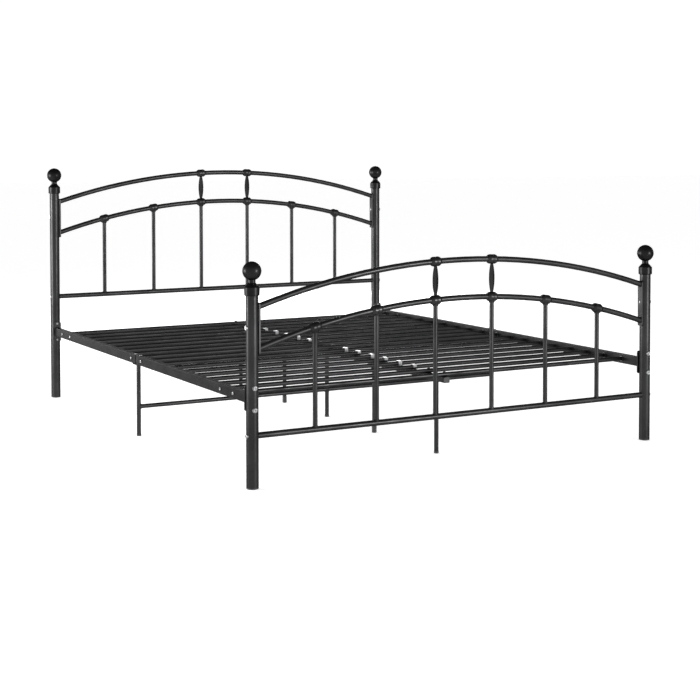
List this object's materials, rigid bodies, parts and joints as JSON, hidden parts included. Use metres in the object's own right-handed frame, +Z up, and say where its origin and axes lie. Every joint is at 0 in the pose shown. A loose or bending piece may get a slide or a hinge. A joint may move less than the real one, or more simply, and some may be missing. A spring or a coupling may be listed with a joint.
{
  "type": "bed frame",
  "caption": "Double bed frame in black steel tube: arched head and foot panels between round posts with ball finials, a deck of cross slats on a centre beam and slim legs.",
  "frame": {"origin": "on the floor under the middle of the bed's outline", "axes": "+X across the bed to the right seen from the foot end, +Y along the bed to the headboard, +Z up"},
  "size_m": [1.66, 2.08, 0.995],
  "materials": {
    "black_powder_coat": "satin",
    "cast_black_paint": "semi-gloss",
    "zinc_plate": "bright zinc plate",
    "black_zinc": "black oxide",
    "black_plastic": "matt moulded"
  },
  "bodies": {
    "root": {"beam_bolts": "black_zinc", "bottom_rail_inserts": "zinc_plate", "centre_beam_foot": "black_powder_coat", "centre_beam_head": "black_powder_coat", "centre_beam_joiner": "black_powder_coat", "centre_beam_plugs": "black_plastic", "centre_leg_foot": "black_powder_coat", "centre_leg_foot_end": "black_powder_coat", "centre_leg_head": "black_powder_coat", "centre_leg_head_end": "black_powder_coat", "centre_leg_middle": "black_powder_coat", "cross_brace_left": "black_powder_coat", "cross_brace_right": "black_powder_coat", "foot_finial_left": "cast_black_paint", "foot_finial_right": "cast_black_paint", "foot_post_left": "black_powder_coat", "foot_post_plug_left": "black_plastic", "foot_post_plug_right": "black_plastic", "foot_post_right": "black_powder_coat", "footboard_bottom_rail": "black_powder_coat", "footboard_end_strip_left": "black_powder_coat", "footboard_end_strip_right": "black_powder_coat", "footboard_knots": "cast_black_paint", "footboard_leaf_spindles": "cast_black_paint", "footboard_lower_arch": "black_powder_coat", "footboard_spindles": "black_powder_coat", "footboard_upper_arch": "black_powder_coat", "frame_bolts": "zinc_plate", "head_finial_left": "cast_black_paint", "head_finial_right": "cast_black_paint", "head_post_left": "black_powder_coat", "head_post_plug_left": "black_plastic", "head_post_plug_right": "black_plastic", "head_post_right": "black_powder_coat", "headboard_bottom_rail": "black_powder_coat", "headboard_end_strip_left": "black_powder_coat", "headboard_end_strip_right": "black_powder_coat", "headboard_knots": "cast_black_paint", "headboard_leaf_spindles": "cast_black_paint", "headboard_lower_arch": "black_powder_coat", "headboard_spindles": "black_powder_coat", "headboard_upper_arch": "black_powder_coat", "leg_feet": "black_plastic", "mid_leg_left": "black_powder_coat", "mid_leg_right": "black_powder_coat", "rail_bolts": "zinc_plate", "rail_end_plate_left_foot": "black_powder_coat", "rail_end_plate_left_head": "black_powder_coat", "rail_end_plate_right_foot": "black_powder_coat", "rail_end_plate_right_head": "black_powder_coat", "side_rail_left_foot": "black_powder_coat", "side_rail_left_head": "black_powder_coat", "side_rail_right_foot": "black_powder_coat", "side_rail_right_head": "black_powder_coat", "slat_clips": "zinc_plate", "slat_end_inserts": "zinc_plate", "slat_end_plugs": "black_plastic", "slats_foot": "black_powder_coat", "slats_head": "black_powder_coat"}
  },
  "joints": []
}
